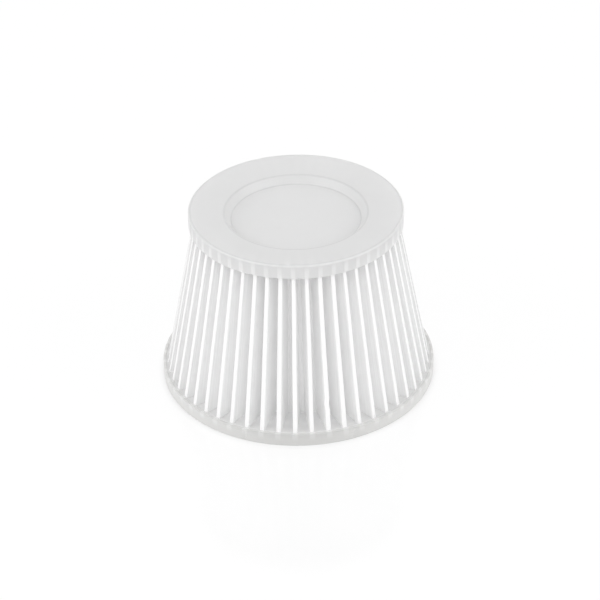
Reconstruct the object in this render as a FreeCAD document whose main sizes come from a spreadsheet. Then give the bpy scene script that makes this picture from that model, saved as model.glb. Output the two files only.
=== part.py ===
import FreeCAD, Part
import math
import os
import Sketcher

# Cone-shaped pleated filter cartridge, standing on its open base ring.
# Millimetres, +Z up, origin at the centre of the face it stands on.

# Driving dimensions
driving_sizes = {
    "total_height": 64.8,       # from the standing face to the top of the cap
    "ring_radius": 47.5,        # outside of the base ring
    "ring_height": 4.7,         # outer wall of the base ring
    "ring_wall": 1.0,           # thickness of that wall
    "ring_floor": 1.8,          # floor of the channel that the pleats stand in
    "inner_lip_height": 4.0,    # inner wall of the channel, round the bore
    "inner_lip_wall": 1.2,
    "ring_edge_break": 0.35,    # small bevel on the outer edges of the base ring
    "cap_radius": 36.5,         # outside of the end cap
    "cap_skirt": 5.2,           # depth of the skirt, from the top of the cap
    "skirt_wall": 1.2,
    "cap_plate": 1.6,           # thickness of the cap's top and of the dish floor
    "cap_edge_break": 0.6,      # small bevel on the outer top edge of the cap
    "plate_fall": 1.35,         # how far the cap's top falls from its edge to the rim of the dish
    "dish_depth": 2.6,          # shallow dish in the middle of the cap, below that rim
    "dish_wall_run": 2.0,       # how far the dish wall leans in over that depth
    "dish_wall": 0.8,           # radial offset of the dish wall's lower face
    "pleat_count": 51,
    "pleat_depth": 12.8,        # radial depth from ridge to inner fold, at the foot
    "ridge_width": 1.7,         # flat outside of each ridge, at the foot
    "fold_width": 1.5,          # flat bottom of each valley, at the foot
    "sheet_thickness": 0.6,     # the folded filter medium, at the foot
    "fit_clearance": 0.2,       # between the pleats and the walls beside them
    "first_ridge_angle": 268.1, # degrees about +Z, from +X
}


class Size:
    # A number together with the sheet expression that gives it.
    def __init__(self, value, text):
        self.value = value
        self.text = text

    def join(self, other, sign, value):
        return Size(value, "({} {} {})".format(self.text, sign, other.text))

    def __add__(self, other):
        return self.join(other, "+", self.value + other.value)

    def __sub__(self, other):
        return self.join(other, "-", self.value - other.value)

    def __mul__(self, other):
        return self.join(other, "*", self.value * other.value)

    def __truediv__(self, other):
        return self.join(other, "/", self.value / other.value)


doc = FreeCAD.newDocument("pleated_filter")
sheet = doc.addObject("Spreadsheet::Sheet", "Sizes")
for row, (name, value) in enumerate(driving_sizes.items(), start=1):
    sheet.set("A{}".format(row), name)
    sheet.set("B{}".format(row), str(value))
    sheet.setAlias("B{}".format(row), name)
doc.recompute()


def size(name):
    return Size(float(sheet.get(name)), "Sizes." + name)


total_height = size("total_height")
ring_radius = size("ring_radius")
ring_height = size("ring_height")
ring_floor = size("ring_floor")
inner_lip_height = size("inner_lip_height")
ring_edge_break = size("ring_edge_break")
cap_radius = size("cap_radius")
cap_edge_break = size("cap_edge_break")
dish_wall = size("dish_wall")
pleat_count = size("pleat_count")
pleat_depth = size("pleat_depth")
ridge_width = size("ridge_width")
fold_width = size("fold_width")
sheet_thickness = size("sheet_thickness")
fit_clearance = size("fit_clearance")
ground = Size(0.0, "0")

# Heights that the cap gives
skirt_bottom = total_height - size("cap_skirt")
plate_rim = total_height - size("plate_fall")
plate_underside = plate_rim - size("cap_plate")
dish_floor = plate_rim - size("dish_depth")
dish_underside = dish_floor - size("cap_plate")

# The ridges touch neither wall: they pass the ring wall at its floor and the skirt at its lower edge.
wall_inside = ring_radius - size("ring_wall")
skirt_inside = cap_radius - size("skirt_wall")
ridge_foot = wall_inside - fit_clearance
ridge_at_skirt = skirt_inside - fit_clearance
ridge_lean = (ridge_foot - ridge_at_skirt) / (skirt_bottom - ring_floor)
ridge_top = ridge_at_skirt - ridge_lean * (plate_underside - skirt_bottom)

# The inner folds run to the same apex as the ridges, and set the bore of the ring and the rim of the dish.
fold_foot = ridge_foot - pleat_depth
fold_top = fold_foot * ridge_top / ridge_foot
fold_lean = (fold_foot - fold_top) / (plate_underside - ring_floor)
lip_outside = fold_foot - fold_lean * (inner_lip_height - ring_floor) - fit_clearance
bore_radius = lip_outside - size("inner_lip_wall")
dish_rim = fold_top - fit_clearance - dish_wall
dish_floor_radius = dish_rim - size("dish_wall_run")

axis_point = (-1, 1)
axis_line = -2
ground_line = -1


def new_body(label):
    body = doc.addObject("PartDesign::Body", label)
    body.Label = label
    return body


def origin_feature(body, role):
    return next(item for item in body.Origin.OriginFeatures if item.Role == role)


def new_sketch(body, name, plane):
    sketch = body.newObject("Sketcher::SketchObject", name)
    sketch.AttachmentSupport = (origin_feature(body, plane), [""])
    sketch.MapMode = "FlatFace"
    return sketch


def dimension(sketch, kind, places, bound):
    index = sketch.addConstraint(Sketcher.Constraint(kind, *places, bound.value))
    sketch.setExpression("Constraints[{}]".format(index), bound.text)


def hold_point(sketch, line, radius, height):
    # Fixes the start of a line by its distance from the axis and from the ground.
    for kind, reach, base_line in (("DistanceX", radius, axis_line), ("DistanceY", height, ground_line)):
        if reach is ground:
            sketch.addConstraint(Sketcher.Constraint("PointOnObject", line, 1, base_line))
        else:
            dimension(sketch, kind, axis_point + (line, 1), reach)


def revolved(body, corners):
    # A closed section of straight lines in the XZ plane, turned about Z.
    sketch = new_sketch(body, body.Label + "_section", "XZ_Plane")
    points = [FreeCAD.Vector(radius.value, height.value, 0) for radius, height in corners]
    for start, end in zip(points, points[1:] + points[:1]):
        sketch.addGeometry(Part.LineSegment(start, end), False)
    for line in range(len(points)):
        following = (line + 1) % len(points)
        sketch.addConstraint(Sketcher.Constraint("Coincident", line, 2, following, 1))
    for line, (radius, height) in enumerate(corners):
        hold_point(sketch, line, radius, height)
    turned = body.newObject("PartDesign::Revolution", body.Label + "_turned")
    turned.Profile = sketch
    turned.ReferenceAxis = (sketch, ["V_Axis"])
    turned.Angle = 360.0
    doc.recompute()
    return turned


def circle_edge(shape, radius, height):
    # The name of the round edge about Z with this radius and height.
    for number, edge in enumerate(shape.Edges, start=1):
        if not isinstance(edge.Curve, Part.Circle):
            continue
        off_radius = abs(edge.Curve.Radius - radius.value)
        off_height = abs(edge.Curve.Center.z - height.value)
        if off_radius < 1e-4 and off_height < 1e-4:
            return "Edge{}".format(number)
    raise ValueError("no round edge of radius {} at {}".format(radius.value, height.value))


def bevel_edges(body, base, name, places, bound):
    # A bevel of one size on the round edges at the given places.
    bevel = body.newObject("PartDesign::Chamfer", name)
    bevel.Base = (base, [circle_edge(base.Shape, radius, height) for radius, height in places])
    bevel.Size = bound.value
    bevel.setExpression("Size", bound.text)
    doc.recompute()


def make_base_ring():
    body = new_body("base_ring")
    turned = revolved(body, [
        (bore_radius, ground),
        (ring_radius, ground),
        (ring_radius, ring_height),
        (wall_inside, ring_height),
        (wall_inside, ring_floor),
        (lip_outside, ring_floor),
        (lip_outside, inner_lip_height),
        (bore_radius, inner_lip_height),
    ])
    outer_edges = [(ring_radius, ground), (ring_radius, ring_height)]
    bevel_edges(body, turned, "ring_edges", outer_edges, ring_edge_break)
    return body


def make_end_cap():
    body = new_body("end_cap")
    revolved(body, [
        (ground, dish_floor),
        (dish_floor_radius, dish_floor),
        (dish_rim, plate_rim),
        (cap_radius - cap_edge_break, total_height),
        (cap_radius, total_height - cap_edge_break),
        (cap_radius, skirt_bottom),
        (skirt_inside, skirt_bottom),
        (skirt_inside, plate_underside),
        (dish_rim + dish_wall, plate_underside),
        (dish_floor_radius + dish_wall, dish_underside),
        (ground, dish_underside),
    ])
    return body


def pleat_profile():
    # One pleat in section: a flat ridge on +X, a flank on each side, and the flat fold on the left.
    # Each line has its twin on the inner side of the sheet, and the last line joins the two folds' middles.
    sketch = doc.addObject("Sketcher::SketchObject", "pleat_profile")
    sketch.setExpression("Placement.Base.z", ring_floor.text)
    half_pitch = Size(math.pi, "180 deg") / pleat_count
    inner_ridge = ridge_foot - sheet_thickness

    # Starting geometry, worked out for the left side and mirrored for the right
    thickness = sheet_thickness.value
    ray = FreeCAD.Vector(math.cos(half_pitch.value), math.sin(half_pitch.value), 0)
    tangent = FreeCAD.Vector(-ray.y, ray.x, 0)
    fold_middles = [ray * fold_foot.value, ray * (fold_foot.value + thickness)]
    ridge_corner = FreeCAD.Vector(ridge_foot.value, ridge_width.value / 2, 0)
    fold_corner = fold_middles[1] - tangent * (fold_width.value / 2)
    along = (fold_corner - ridge_corner).normalize()
    inner_start = ridge_corner + FreeCAD.Vector(-along.y, along.x, 0) * thickness
    inner_ridge_corner = inner_start + along * ((inner_ridge.value - inner_start.x) / along.x)
    inner_fold_corner = inner_start + along * ((fold_foot.value - inner_start.dot(ray)) / along.dot(ray))

    def mirrored(point):
        return FreeCAD.Vector(point.x, -point.y, 0)

    skins = [
        (ridge_corner, fold_corner, fold_middles[1]),
        (inner_ridge_corner, inner_fold_corner, fold_middles[0]),
    ]
    for ridge_point, fold_point, fold_middle in skins:
        for ends in (
            (mirrored(ridge_point), ridge_point),
            (ridge_point, fold_point),
            (mirrored(ridge_point), mirrored(fold_point)),
            (fold_point, fold_middle * 2 - fold_point),
        ):
            sketch.addGeometry(Part.LineSegment(*ends), False)
    sketch.addGeometry(Part.LineSegment(*fold_middles), True)

    start, end = 1, 2
    outer, inner, middle = (0, 1, 2, 3), (4, 5, 6, 7), 8
    constraints = [("Parallel", outer[1], inner[1]), ("PointOnObject", *axis_point, middle)]
    for (ridge, left, right, fold), middle_end in ((outer, end), (inner, start)):
        constraints += [
            ("Coincident", ridge, end, left, start),
            ("Coincident", ridge, start, right, start),
            ("Coincident", left, end, fold, start),
            ("Symmetric", left, start, right, start, ground_line),
            ("Symmetric", left, end, right, end, ground_line),
            ("Symmetric", fold, start, fold, end, middle, middle_end),
            ("Perpendicular", fold, middle),
        ]
    for constraint in constraints:
        sketch.addConstraint(Sketcher.Constraint(*constraint))
    dimension(sketch, "DistanceX", axis_point + (outer[1], start), ridge_foot)
    dimension(sketch, "DistanceX", axis_point + (inner[1], start), inner_ridge)
    dimension(sketch, "Distance", (outer[0], start, outer[0], end), ridge_width)
    dimension(sketch, "Distance", (outer[3], start, outer[3], end), fold_width)
    dimension(sketch, "Distance", (inner[1], start, outer[1]), sheet_thickness)
    dimension(sketch, "Distance", (middle, start, middle, end), sheet_thickness)
    dimension(sketch, "Distance", axis_point + (middle, start), fold_foot)
    dimension(sketch, "Angle", (ground_line, middle), half_pitch)
    doc.recompute()
    return sketch


def make_pleated_media():
    # Every edge of the pleats runs to one apex on the axis, so that each face is flat.
    sketch = pleat_profile()
    apex = FreeCAD.Vector(0, 0, (ring_floor + ridge_foot / ridge_lean).value)
    shrink = (ridge_top / ridge_foot).value
    outer_edges = [sketch.Geometry[index].toShape() for index in (0, 1, 2, 3)]
    inner_edges = [sketch.Geometry[index].toShape() for index in (4, 5, 6, 7)]

    def side_face(edge):
        low = [vertex.Point for vertex in edge.Vertexes]
        high = [vertex.Point for vertex in edge.scaled(shrink, apex).Vertexes]
        return Part.Face(Part.makePolygon(low + high[::-1] + low[:1]))

    def around(shapes):
        copies = []
        for number in range(int(pleat_count.value)):
            turn = number * 360 / pleat_count.value
            for shape in shapes:
                copy = shape.copy()
                copy.rotate(FreeCAD.Vector(0, 0, 0), FreeCAD.Vector(0, 0, 1), turn)
                copies.append(copy)
        return copies

    for edge in outer_edges + inner_edges:
        edge.Placement = sketch.Placement
    loops = [Part.Wire(Part.sortEdges(around(edges))[0]) for edges in (outer_edges, inner_edges)]
    foot = Part.makeFace(loops, "Part::FaceMakerBullseye")
    sides = around([side_face(edge) for edge in outer_edges + inner_edges])
    shell = Part.makeShell(sides + [foot, foot.scaled(shrink, apex)])
    shell.sewShape()
    media = doc.addObject("Part::Feature", "pleated_media")
    media.Label = "pleated_media"
    media.Shape = Part.makeSolid(shell)
    turn = FreeCAD.Rotation(FreeCAD.Vector(0, 0, 1), size("first_ridge_angle").value)
    media.Placement = FreeCAD.Placement(FreeCAD.Vector(0, 0, 0), turn)
    return media


sub_parts = [make_base_ring(), make_pleated_media(), make_end_cap()]
doc.recompute()

for item in doc.Objects:
    if "Invalid" in item.State or "Error" in item.State:
        raise RuntimeError("{} did not compute: {}".format(item.Name, item.State))
for body in sub_parts:
    if body.Shape.isNull() or not body.Shape.isValid():
        raise RuntimeError("{} has no valid shape".format(body.Label))
    if len(body.Shape.Solids) != 1:
        raise RuntimeError("{} is not one solid".format(body.Label))

os.makedirs("parts", exist_ok=True)
for body in sub_parts:
    body.Shape.exportStep("parts/{}.step".format(body.Label))
    box = body.Shape.optimalBoundingBox()
    print("{}: {:.1f} mm3, z {:.2f} to {:.2f}, width {:.2f}".format(
        body.Label, body.Shape.Volume, box.ZMin, box.ZMax, box.XLength))
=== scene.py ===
import math
import random

import bpy
from mathutils import Matrix, Vector


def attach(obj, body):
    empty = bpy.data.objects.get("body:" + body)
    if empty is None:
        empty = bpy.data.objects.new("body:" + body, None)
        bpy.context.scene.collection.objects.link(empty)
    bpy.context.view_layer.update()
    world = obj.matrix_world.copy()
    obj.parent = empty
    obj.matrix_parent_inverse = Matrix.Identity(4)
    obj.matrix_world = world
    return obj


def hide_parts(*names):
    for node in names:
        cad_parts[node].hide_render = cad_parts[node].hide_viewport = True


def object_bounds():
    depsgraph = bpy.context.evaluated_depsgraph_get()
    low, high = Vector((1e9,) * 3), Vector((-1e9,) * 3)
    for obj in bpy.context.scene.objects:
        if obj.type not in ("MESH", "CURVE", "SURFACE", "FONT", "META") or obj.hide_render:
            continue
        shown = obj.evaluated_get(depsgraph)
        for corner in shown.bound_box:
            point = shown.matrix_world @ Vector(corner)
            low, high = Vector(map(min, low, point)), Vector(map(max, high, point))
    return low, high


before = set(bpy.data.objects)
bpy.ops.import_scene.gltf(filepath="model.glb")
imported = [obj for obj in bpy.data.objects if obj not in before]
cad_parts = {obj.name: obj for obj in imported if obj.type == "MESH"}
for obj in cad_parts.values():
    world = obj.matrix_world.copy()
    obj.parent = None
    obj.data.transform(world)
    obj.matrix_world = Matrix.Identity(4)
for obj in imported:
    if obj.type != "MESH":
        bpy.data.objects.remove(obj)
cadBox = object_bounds()
scene = bpy.context.scene
scene.view_settings.view_transform = "Standard"
scene.cycles.max_bounces = 24
scene.cycles.diffuse_bounces = 16   # light finds its way out of deep white folds
random.seed(51)
mm = 0.001   # sizes of the pieces are in millimetres


class Value:  # an output socket; arithmetic on it adds Math nodes
    def __init__(self, look, socket):
        self.look = look
        self.socket = socket

    def __add__(self, other):
        return self.look.maths("ADD", self, other)

    def __radd__(self, other):
        return self.look.maths("ADD", other, self)

    def __sub__(self, other):
        return self.look.maths("SUBTRACT", self, other)

    def __rsub__(self, other):
        return self.look.maths("SUBTRACT", other, self)

    def __mul__(self, other):
        return self.look.maths("MULTIPLY", self, other)

    def __rmul__(self, other):
        return self.look.maths("MULTIPLY", other, self)

    def __truediv__(self, other):
        return self.look.maths("DIVIDE", self, other)

    def __rtruediv__(self, other):
        return self.look.maths("DIVIDE", other, self)


class Look:  # one node tree, for a material or the world
    def __init__(self, owner):
        owner.use_nodes = True
        self.owner = owner
        self.tree = owner.node_tree
        self.tree.nodes.clear()

    def node(self, kind, settings, sockets, output=0):
        made = self.tree.nodes.new(kind)
        for name, value in settings.items():
            setattr(made, name, value)
        for name, value in sockets.items():
            if isinstance(value, Value):
                self.tree.links.new(value.socket, made.inputs[name])
            else:
                made.inputs[name].default_value = value
        if isinstance(output, tuple):
            return [Value(self, made.outputs[name]) for name in output]
        return Value(self, made.outputs[output]) if made.outputs else None

    def maths(self, operation, first, second=0.0):
        return self.node("ShaderNodeMath", {"operation": operation}, {0: first, 1: second})

    def mix(self, factor, first, second):
        return self.node("ShaderNodeMix", {"data_type": "RGBA"}, {0: factor, 6: first, 7: second}, 2)

    def noise(self, where, scale, detail=3.0):
        return self.node("ShaderNodeTexNoise", {}, {"Vector": where, "Scale": scale, "Detail": detail})

    def spread(self, value, low, high):
        settings = {"interpolation_type": "SMOOTHSTEP"}
        return self.node("ShaderNodeMapRange", settings, {"Value": value, "From Min": low, "From Max": high})

    def line(self, value, place, width):
        # 1 on a thin line at one place, 0 beside it
        return self.spread(self.maths("ABSOLUTE", value - place), width, 0.0)

    def around(self):
        # the point itself, then its distance from the axis in mm, its angle and its height in mm
        where = self.node("ShaderNodeTexCoord", {}, {}, "Object")
        x, y, z = self.node("ShaderNodeSeparateXYZ", {}, {0: where}, ("X", "Y", "Z"))
        return where, self.maths("SQRT", x * x + y * y) / mm, self.maths("ARCTAN2", y, x), z / mm

    def seenStraight(self):
        # 1 for what the camera sees directly, in a reflection or through the plastic
        names = ("Is Camera Ray", "Is Glossy Ray", "Is Transmission Ray")
        camera, glossy, through = self.node("ShaderNodeLightPath", {}, {}, names)
        return self.maths("MAXIMUM", self.maths("MAXIMUM", camera, glossy), through)

    def surface(self, shader, output="ShaderNodeOutputMaterial"):
        self.node(output, {}, {"Surface": shader})
        return self.owner


def grey(level):
    return (level, level, level, 1)


# Camera, from a fit of the cap and ring outlines

shot = {
    "target": Vector((0.87, 0, 27.4)) * mm,
    "distance": 0.803,
    "elevation": math.radians(33.47),
    "roll": math.radians(-1.0),
    "lens": 139.0,
}


def makeCamera():
    lean, roll = shot["elevation"], shot["roll"]
    back = Vector((0, -math.cos(lean), math.sin(lean)))
    right = Vector((1, 0, 0))
    up = Vector((0, math.sin(lean), math.cos(lean)))
    across = math.cos(roll) * right + math.sin(roll) * up
    upward = math.cos(roll) * up - math.sin(roll) * right
    data = bpy.data.cameras.new("camera")
    data.sensor_width = 36
    data.lens = shot["lens"]
    camera = bpy.data.objects.new("camera", data)
    turn = Matrix((across, upward, back)).transposed().to_4x4()
    camera.matrix_world = Matrix.Translation(shot["target"] + back * shot["distance"]) @ turn
    scene.collection.objects.link(camera)
    scene.camera = camera


makeCamera()
print("camera in place")


# Meshes

def addPiece(name, points, faces, material):
    mesh = bpy.data.meshes.new(name)
    mesh.from_pydata([(x * mm, y * mm, z * mm) for x, y, z in points], [], faces)
    mesh.validate()
    mesh.update()
    mesh.shade_smooth()
    mesh.materials.append(material)
    piece = bpy.data.objects.new(name, mesh)
    scene.collection.objects.link(piece)
    weighted = piece.modifiers.new("even shading", "WEIGHTED_NORMAL")
    weighted.weight = 100
    return piece


def softened(corners, steps=6):
    # corners are (x, y, rounding); each rounding becomes a small arc
    outline = []
    for index, (x, y, rounding) in enumerate(corners):
        here = Vector((x, y))
        if not rounding:
            outline.append(here)
            continue
        before = (Vector(corners[index - 1][:2]) - here).normalized()
        after = (Vector(corners[(index + 1) % len(corners)][:2]) - here).normalized()
        half = before.angle(after) / 2
        reach = rounding / math.tan(half)
        middle = here + (before + after).normalized() * rounding / math.sin(half)
        firstSpoke = (here + before * reach - middle).normalized()
        lastSpoke = (here + after * reach - middle).normalized()
        for step in range(steps + 1):
            outline.append(middle + firstSpoke.slerp(lastSpoke, step / steps) * rounding)
    return outline


def turnedPiece(name, corners, material, segments=240):
    # corners run round the section as (radius, height, rounding); a point on the axis becomes one vertex
    points, columns = [], []
    for radius, height in softened(corners):
        if radius < 1e-4:
            points.append((0, 0, height))
            columns.append([len(points) - 1] * segments)
            continue
        first = len(points)
        for step in range(segments):
            angle = math.tau * step / segments
            points.append((radius * math.cos(angle), radius * math.sin(angle), height))
        columns.append(list(range(first, first + segments)))
    faces = []
    for one, two in zip(columns, columns[1:] + columns[:1]):
        for step in range(segments):
            after = (step + 1) % segments
            ends = [one[step], two[step], two[after], one[after]]
            ends = [end for place, end in enumerate(ends) if end not in ends[:place]]
            if len(ends) > 2:
                faces.append(ends)
    return addPiece(name, points, faces, material)


# Pleats, one sheet folded into a cone: every line of it runs to one apex

media = {
    "count": 51,
    "firstRidge": math.radians(268.1),
    "foot": 1.8,
    "top": 61.85,
    "apex": 240.74,
    "ridge": 46.3,                # outside of the ridges, at the foot
    "fold": 33.5,                 # inside of the inner folds, at the foot
    "clearance": 0.2,             # to the walls of the cap and the ring
    "thickness": 0.6,
    "ridgeWidth": (1.45, 1.25),   # at the foot and at the top
    "foldWidth": (1.5, 1.1),
    "ridgeRound": 0.14,
    "creaseRound": 0.1,           # inside a ridge
    "foldRound": 0.3,
    "arcSteps": 3,
    "rows": 50,
    "stray": {"slip": 0.07, "wave": 0.04, "swing": 7, "width": 0.05},   # how far the ridges wander
    "pinch": {"pleat": 2, "rise": 0.2, "reach": 0.05, "size": 0.2, "swing": 60},   # one ridge is crumpled
    "streakScale": 420.0,
    "streakStretch": 0.00012,     # makes the grain long and thin
    "fibreScale": 1500.0,
    # painted light: shade on the flanks near the ridges, a lighter glow deep in the folds, a highlight on the
    # crests
    "flankGrainAndShade": (0.895, 0.97),
    "deepPaintedGlow": 0.965,
    "ridgePaintedHighlight": 0.995,
    "flankStart": (0.82, 0.99),   # as shares of the way out to the ridge
    "ridgeStart": (0.996, 0.999),
    "fuzz": 0.25,
}


def taper(height):
    return (media["apex"] - height) / (media["apex"] - media["foot"])


def between(ends, share):
    return ends[0] * (1 - share) + ends[1] * share


def whiteMedia():
    # non-woven: the grain runs along the folds; the crests carry a painted highlight, the outer flanks
    # painted shade and the folds deep inside a lighter painted glow
    look = Look(bpy.data.materials.new("whiteMedia"))
    where, radius, angle, height = look.around()
    reach = radius / (media["apex"] - height)
    along = look.node("ShaderNodeCombineXYZ", {}, {
        "X": reach * look.maths("COSINE", angle),
        "Y": reach * look.maths("SINE", angle),
        "Z": height * media["streakStretch"],
    })
    streak = look.noise(along, media["streakScale"], 4.0)
    fibre = look.noise(where, media["fibreScale"], 4.0)
    ridgeReach = media["ridge"] / (media["apex"] - media["foot"])
    # masks for the painted shade on the outer flanks and the painted highlight on the crests
    flankShadeMask = look.spread(reach / ridgeReach, *media["flankStart"])
    ridgeHighlightMask = look.spread(reach / ridgeReach, *media["ridgeStart"])
    dark, light = media["flankGrainAndShade"]
    grain = look.mix(look.spread(streak, 0.3, 0.7), grey(dark), grey(light))
    colour = look.mix(flankShadeMask, grey(media["deepPaintedGlow"]), grain)
    colour = look.mix(ridgeHighlightMask, colour, grey(media["ridgePaintedHighlight"]))
    rough = fibre * 0.6 + streak * 0.4
    bump = look.node("ShaderNodeBump", {}, {"Strength": media["fuzz"], "Distance": 0.2 * mm, "Height": rough})
    shader = look.node("ShaderNodeBsdfPrincipled", {}, {
        "Base Color": colour,
        "Roughness": 0.85 + fibre * 0.1,
        "Specular IOR Level": 0.2,
        "Normal": bump,
    })
    return look.surface(shader)


def pleatSkin(ridge, fold, lean):
    # one side of the sheet over one pleat, from mid fold to mid fold
    # ridge and fold are (radius, half width, rounding)
    half = math.pi / media["count"]
    corners = []
    for side in (-1, 1):
        ray = Vector((math.cos(half), side * math.sin(half)))
        across = Vector((-ray.y, ray.x)) * side
        corner = ray * fold[0] - across * fold[1]
        run = [(*(ray * fold[0]), 0), (*corner, fold[2]), (ridge[0], side * ridge[1] + lean, ridge[2])]
        corners += run if side < 0 else run[::-1]
    return softened(corners, media["arcSteps"])[:-1]


def makePleats():
    count, sheet = media["count"], media["thickness"]
    stray, pinch = media["stray"], media["pinch"]
    slips = [random.gauss(0, stray["slip"]) for pleat in range(count)]
    waves = [(random.gauss(0, stray["wave"]), random.uniform(0, math.tau)) for pleat in range(count)]
    widths = [random.gauss(1, stray["width"]) for pleat in range(count)]

    def skinRow(rise, inside):
        height = between((media["foot"], media["top"]), rise)
        ridgeAt, foldAt = media["ridge"] * taper(height), media["fold"] * taper(height)
        ridgeHalf = between(media["ridgeWidth"], rise) / 2
        foldHalf = between(media["foldWidth"], rise) / 2
        row = []
        for pleat in range(count):
            size, phase = waves[pleat]
            lean = slips[pleat] + size * math.sin(phase + stray["swing"] * rise)
            if pleat == pinch["pleat"]:
                offset = rise - pinch["rise"]
                fade = math.exp(-(offset / pinch["reach"]) ** 2)
                lean -= pinch["size"] * fade * math.cos(pinch["swing"] * offset)
            half = ridgeHalf * widths[pleat]
            ridge = (ridgeAt, half, media["ridgeRound"])
            fold = (foldAt + sheet, foldHalf, media["foldRound"])
            if inside:   # the inner skin keeps a sheet's thickness from the outer one
                ridge = (ridgeAt - sheet, half - sheet * 0.9, media["creaseRound"])
                fold = (foldAt, foldHalf + sheet * 0.9, media["foldRound"] + sheet * 0.6)
            turn = Matrix.Rotation(media["firstRidge"] + math.tau * pleat / count, 2)
            row += [(*(turn @ spot), height) for spot in pleatSkin(ridge, fold, lean)]
        return row

    rises = [row / media["rows"] for row in range(media["rows"] + 1)]
    rows = [skinRow(rise, False) for rise in rises]
    rows += [skinRow(rise, True) for rise in rises[::-1]]   # over the top edge and down the inside
    width = len(rows[0])
    faces = []
    for row in range(len(rows)):
        here, above = row * width, (row + 1) % len(rows) * width
        for step in range(width):
            after = (step + 1) % width
            faces.append((here + step, here + after, above + after, above + step))
    return addPiece("pleats", sum(rows, []), faces, whiteMedia())


pleats = makePleats()
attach(pleats, "root")
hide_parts("pleated_media")
print("pleats folded")


# Milky plastic of the cap and the ring: satin and a little clear; the ridges of the pleats behind it are
# painted in as faint light

plastic = {"cloudScale": 60.0, "grainScale": 900.0, "grainDepth": 0.06, "roughness": 0.34, "ior": 1.46}


def milkyPlastic(look, where, colour, clear):
    cloud = look.noise(where, plastic["cloudScale"])
    grain = look.noise(where, plastic["grainScale"], 2.0)
    uneven = look.node("ShaderNodeHueSaturation", {}, {"Value": 0.975 + cloud * 0.05, "Color": colour})
    bump = look.node("ShaderNodeBump", {}, {
        "Strength": plastic["grainDepth"],
        "Distance": 0.2 * mm,
        "Height": grain,
    })
    shader = look.node("ShaderNodeBsdfPrincipled", {}, {
        "Base Color": uneven,
        "Roughness": plastic["roughness"] + cloud * 0.1,
        "IOR": plastic["ior"],
        "Transmission Weight": clear,
        "Normal": bump,
    })
    return look.surface(shader)


def paintedRidgeGlow(look, angle):
    # painted light: bright where a ridge stands behind the plastic
    return look.spread(look.maths("COSINE", (angle - media["firstRidge"]) * media["count"]), 0.2, 0.9)


# End cap, closed and dished

cap = {
    "top": cadBox[1][2] / mm,
    "radius": 36.5,
    "bevel": 0.6,
    "shoulder": 0.4,        # rounding on the bevel
    "skirtBottom": 59.6,
    "skirtInside": 35.3,
    "hem": 0.3,
    "plateRim": 63.45,
    "dishFloor": 60.85,
    "dishUnder": 59.25,
    "dishRun": 2.0,
    "dishWall": 0.8,
    "dishEdge": 0.45,
    "plateShade": 0.92,
    "skirtPaintedShades": (0.885, 1),  # painted shade between the ridges and painted light in front of them
    "paintedGlowFade": (65, 62),      # heights between which the painted light of the ridges comes in
    "paintedGlint": 0.6,               # painted highlight along the shoulder
    "paintedLineShade": 0.7,
    "clear": 0.25,
}
cap["dishRim"] = media["fold"] * taper(media["top"]) - media["clearance"] - cap["dishWall"]
cap["dishFloorRadius"] = cap["dishRim"] - cap["dishRun"]
cap["darkLines"] = (                      # painted shade lines: radius, half width and strength
    (cap["radius"] - 0.7, 0.45, 0.4),     # painted shade where the plate turns down
    (cap["dishRim"] + 0.3, 0.6, 0.45),    # painted shade round the dish
    (cap["dishFloorRadius"], 0.3, 0.5),   # painted shade round its floor
)


def capCorners():
    return [
        (0, cap["dishFloor"], 0),
        (cap["dishFloorRadius"], cap["dishFloor"], cap["dishEdge"]),
        (cap["dishRim"], cap["plateRim"], cap["dishEdge"]),
        (cap["radius"] - cap["bevel"], cap["top"], cap["shoulder"]),
        (cap["radius"], cap["top"] - cap["bevel"], cap["shoulder"]),
        (cap["radius"], cap["skirtBottom"], cap["hem"]),
        (cap["skirtInside"], cap["skirtBottom"], cap["hem"]),
        (cap["skirtInside"], media["top"], 0),
        (cap["dishRim"] + cap["dishWall"], media["top"], 0),
        (cap["dishFloorRadius"] + cap["dishWall"], cap["dishUnder"], cap["hem"]),
        (0, cap["dishUnder"], 0),
    ]


def capPlastic():
    look = Look(bpy.data.materials.new("capPlastic"))
    where, radius, angle, height = look.around()
    skirt = look.spread(radius, cap["radius"] - cap["bevel"], cap["radius"] - cap["bevel"] / 3)
    # painted light where a ridge stands behind the skirt, painted shade between the ridges
    paintedGlow = paintedRidgeGlow(look, angle) * look.spread(height, *cap["paintedGlowFade"])
    # painted highlight along the shoulder
    shoulder = look.line(height, cap["top"] - cap["shoulder"], cap["shoulder"]) * skirt
    # painted shade in thin lines round the plate's edge, the dish and its floor
    paintedCreaseShade = sum(look.line(radius, place, width) * strength for place, width, strength in cap["darkLines"])
    dark, light = cap["skirtPaintedShades"]
    colour = look.mix(skirt, grey(cap["plateShade"]), look.mix(paintedGlow, grey(dark), grey(light)))
    colour = look.mix(shoulder * cap["paintedGlint"], colour, grey(light))
    colour = look.mix(paintedCreaseShade, colour, grey(cap["paintedLineShade"]))
    return milkyPlastic(look, where, colour, cap["clear"])


endCap = turnedPiece("endCap", capCorners(), capPlastic())
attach(endCap, "root")
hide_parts("end_cap")
print("cap turned")


# Base ring, open in the middle, with a channel for the feet of the pleats

ring = {
    "radius": cadBox[1][0] / mm,
    "height": 4.7,
    "wall": 1.0,
    "lipHeight": 4.0,
    "lipWall": 1.2,
    "outerEdge": 0.35,
    "topEdge": 0.2,
    "lipEdge": 0.25,
    # the plastic's grey, darkened by painted shade of the dark space behind the wall
    "wallColour": (0.71, 0.708, 0.696, 1),
    "paintedGlowColour": (0.79, 0.79, 0.78, 1),   # painted light in front of a ridge
    "paintedGlowFade": (1.5, 4.2),                # heights between which the painted light of the ridges comes in
    "clear": 0.2,
}
ring["wallInside"] = ring["radius"] - ring["wall"]
ring["lipOutside"] = media["fold"] * taper(ring["lipHeight"]) - media["clearance"]
ring["bore"] = ring["lipOutside"] - ring["lipWall"]


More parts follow.
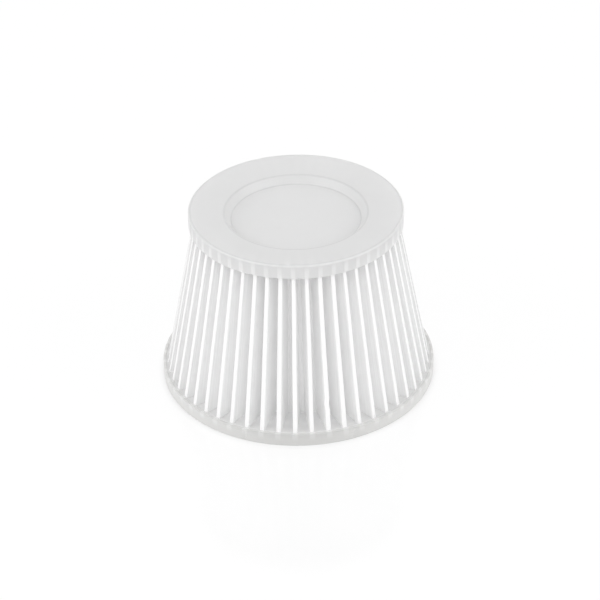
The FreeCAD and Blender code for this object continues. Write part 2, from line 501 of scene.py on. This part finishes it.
def ringCorners():
    return [
        (ring["bore"], 0, ring["lipEdge"]),
        (ring["radius"], 0, ring["outerEdge"]),
        (ring["radius"], ring["height"], ring["outerEdge"]),
        (ring["wallInside"], ring["height"], ring["topEdge"]),
        (ring["wallInside"], media["foot"], 0),
        (ring["lipOutside"], media["foot"], 0),
        (ring["lipOutside"], ring["lipHeight"], ring["lipEdge"]),
        (ring["bore"], ring["lipHeight"], ring["lipEdge"]),
    ]


def ringPlastic():
    look = Look(bpy.data.materials.new("ringPlastic"))
    where, radius, angle, height = look.around()
    # painted light where a ridge stands behind the wall, painted shade between the ridges
    paintedGlow = paintedRidgeGlow(look, angle) * look.spread(height, *ring["paintedGlowFade"])
    colour = look.mix(paintedGlow, ring["wallColour"], ring["paintedGlowColour"])
    return milkyPlastic(look, where, colour, ring["clear"])


baseRing = turnedPiece("baseRing", ringCorners(), ringPlastic())
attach(baseRing, "root")
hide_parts("base_ring")
print("ring turned")


# Bonding compound, poured round the feet of the pleats: it climbs the wall of the ring a little

bond = {
    "lipLevel": 3.7,
    "level": 4.25,
    "wallLevel": 4.6,
    "climb": 0.9,
    "round": 0.6,
    "hem": 0.08,
    "cloudScale": 220.0,
    "innerShades": (0.93, 0.98),
    # grey near the wall: partly like the ring's plastic, partly painted shade in the valleys between the feet
    "wallColour": (0.8, 0.8, 0.795, 1),
    "wallShadeFade": (39, 45),   # radii between which it turns greyer, painted shade near the ring's wall
    "clear": 0.1,
}


def bondCorners():
    return [
        (ring["lipOutside"], media["foot"], 0),
        (ring["wallInside"], media["foot"], 0),
        (ring["wallInside"], bond["wallLevel"], bond["hem"]),
        (ring["wallInside"] - bond["climb"], bond["level"], bond["round"]),
        (ring["lipOutside"], bond["lipLevel"], bond["hem"]),
    ]


def bondResin():
    look = Look(bpy.data.materials.new("bondResin"))
    where, radius, angle, height = look.around()
    dark, light = bond["innerShades"]
    pale = look.mix(look.spread(look.noise(where, bond["cloudScale"]), 0.3, 0.7), grey(dark), grey(light))
    # greyer towards the ring's wall: painted shade
    colour = look.mix(look.spread(radius, *bond["wallShadeFade"]), pale, bond["wallColour"])
    return milkyPlastic(look, where, colour, bond["clear"])


bonding = turnedPiece("bonding", bondCorners(), bondResin())
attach(bonding, "root")
print("feet bonded")


# Studio: white floor with a faint reflection, soft light all round

studio = {
    "floorHalf": 3.0,
    "floorShades": (0.84, 0.86),   # for the light that it throws back
    "seenShadow": 0.08,            # what the camera sees: shadow, reflection and white
    "seenSheen": 0.07,
    "seenWhite": 0.855,
    "shelter": (44, 50),           # radii, in mm, between which the floor leaves the ring's own shade
    "world": 0.8,
    "lampSize": 0.9,
    "lampTarget": (0, 0, 0.03),
    "lamps": {
        "leftSoftbox": ((-1.0, -0.35, 0.7), 3.3),
        "rightSoftbox": ((1.0, -0.35, 0.7), 2.97),
        "frontSoftbox": ((0.1, -1.2, 0.35), 0.9),
    },
}


def whiteFloor():
    look = Look(bpy.data.materials.new("whiteFloor"))
    where, radius, angle, height = look.around()
    dark, light = studio["floorShades"]
    pale = look.mix(look.noise(where, 3.0), grey(dark), grey(light))
    plain = look.node("ShaderNodeBsdfDiffuse", {}, {"Color": pale})
    shade = look.node("ShaderNodeBsdfDiffuse", {}, {"Color": grey(studio["seenShadow"])})
    sheen = look.node("ShaderNodeBsdfGlossy", {}, {"Color": grey(studio["seenSheen"]), "Roughness": 0.12})
    white = look.node("ShaderNodeEmission", {}, {"Color": grey(studio["seenWhite"]), "Strength": 1.0})
    seen = look.node("ShaderNodeAddShader", {}, {0: shade, 1: sheen})
    seen = look.node("ShaderNodeAddShader", {}, {0: seen, 1: white})
    seenOpen = look.seenStraight() * look.spread(radius, *studio["shelter"])
    both = look.node("ShaderNodeMixShader", {}, {0: seenOpen, 1: plain, 2: seen})
    return look.surface(both)


def makeFloor():
    half = studio["floorHalf"]
    mesh = bpy.data.meshes.new("floor")
    corners = [(-half, -half, 0), (half, -half, 0), (half, half, 0), (-half, half, 0)]
    mesh.from_pydata(corners, [], [(0, 1, 2, 3)])
    mesh.materials.append(whiteFloor())
    floor = bpy.data.objects.new("floor", mesh)
    scene.collection.objects.link(floor)


def makeWorld():
    look = Look(bpy.data.worlds.new("studio"))
    light = look.node("ShaderNodeBackground", {}, {"Color": grey(1), "Strength": studio["world"]})
    seen = look.node("ShaderNodeBackground", {}, {"Color": grey(1), "Strength": 1.0})
    back = look.node("ShaderNodeMixShader", {}, {0: look.seenStraight(), 1: light, 2: seen})
    scene.world = look.surface(back, "ShaderNodeOutputWorld")


def makeLamp(name, place, power):
    data = bpy.data.lights.new(name, "AREA")
    data.shape = "DISK"
    data.size = studio["lampSize"]
    data.energy = power
    lamp = bpy.data.objects.new(name, data)
    lamp.location = place
    beam = Vector(studio["lampTarget"]) - Vector(place)
    lamp.rotation_euler = beam.to_track_quat("-Z", "Y").to_euler()
    scene.collection.objects.link(lamp)


makeFloor()
makeWorld()
for name, (place, power) in studio["lamps"].items():
    makeLamp(name, place, power)
print("studio lit")
